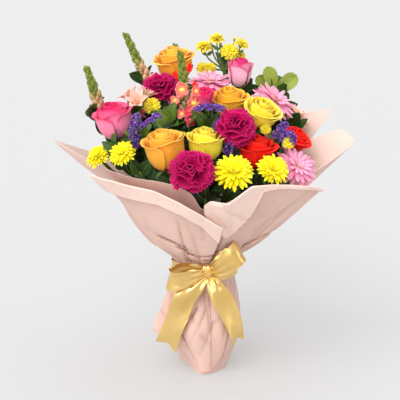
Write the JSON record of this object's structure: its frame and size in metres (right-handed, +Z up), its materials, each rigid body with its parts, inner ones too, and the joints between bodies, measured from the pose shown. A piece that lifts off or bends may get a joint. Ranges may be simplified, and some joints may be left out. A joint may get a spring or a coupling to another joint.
{
  "type": "flower bouquet",
  "caption": "Hand-tied bouquet of mixed cut flowers in a flared paper wrapper with a satin ribbon bow, standing on its flat wrapped foot.",
  "frame": {"origin": "middle of the stem bundle at the floor, on the underside of the flat wrapped foot", "axes": "+Z up along the stems, -Y to the front where the ribbon bow is, +X to the viewer's right"},
  "size_m": [0.4146, 0.3119, 0.4574],
  "materials": {
    "alstroemeria_peach": "soft petals",
    "twine": "matte",
    "carnation_purple": "soft petals",
    "daisy_yellow": "soft petals",
    "gerbera_pink": "soft petals",
    "stems_and_leaves": "waxy",
    "satin_ribbon": "glossy satin",
    "rose_amber": "soft petals",
    "rose_magenta": "soft petals",
    "rose_orange": "soft petals",
    "rose_pink": "soft petals",
    "rose_red": "soft petals",
    "rose_yellow": "soft petals",
    "snapdragon_buds": "soft petals",
    "statice_violet": "soft petals",
    "wrapping_paper": "matte, finely ribbed"
  },
  "bodies": {
    "root": {"alstroemeria_left": "alstroemeria_peach", "alstroemeria_rear": "alstroemeria_peach", "binding_twine": "twine", "carnation_back": "carnation_purple", "carnation_front": "carnation_purple", "carnation_rear": "carnation_purple", "carnation_right": "carnation_purple", "daisy_front": "daisy_yellow", "daisy_front_right": "daisy_yellow", "daisy_left_inner": "daisy_yellow", "daisy_left_outer": "daisy_yellow", "daisy_rear": "daisy_yellow", "daisy_spray_top": "daisy_yellow", "gerbera_back": "gerbera_pink", "gerbera_low_right": "gerbera_pink", "gerbera_right": "gerbera_pink", "greens_back": "stems_and_leaves", "greens_back_left": "stems_and_leaves", "greens_back_right": "stems_and_leaves", "greens_front": "stems_and_leaves", "greens_front_left": "stems_and_leaves", "greens_front_right": "stems_and_leaves", "ribbon_bow": "satin_ribbon", "rose_amber_right": "rose_amber", "rose_magenta_small": "rose_magenta", "rose_orange_back": "rose_orange", "rose_orange_front": "rose_orange", "rose_pink_back": "rose_pink", "rose_pink_left": "rose_pink", "rose_pink_rear": "rose_pink", "rose_red_front": "rose_red", "rose_red_rear": "rose_red", "rose_red_right": "rose_red", "rose_yellow_front": "rose_yellow", "rose_yellow_right": "rose_yellow", "snapdragon_front": "snapdragon_buds", "snapdragon_left": "snapdragon_buds", "snapdragon_middle": "snapdragon_buds", "snapdragon_rear": "snapdragon_buds", "statice_left": "statice_violet", "statice_middle": "statice_violet", "statice_rear": "statice_violet", "statice_right": "statice_violet", "wrap_back_sheet": "wrapping_paper", "wrap_inner_sheet": "wrapping_paper", "wrap_left_sheet": "wrapping_paper", "wrap_right_sheet": "wrapping_paper"}
  },
  "joints": []
}
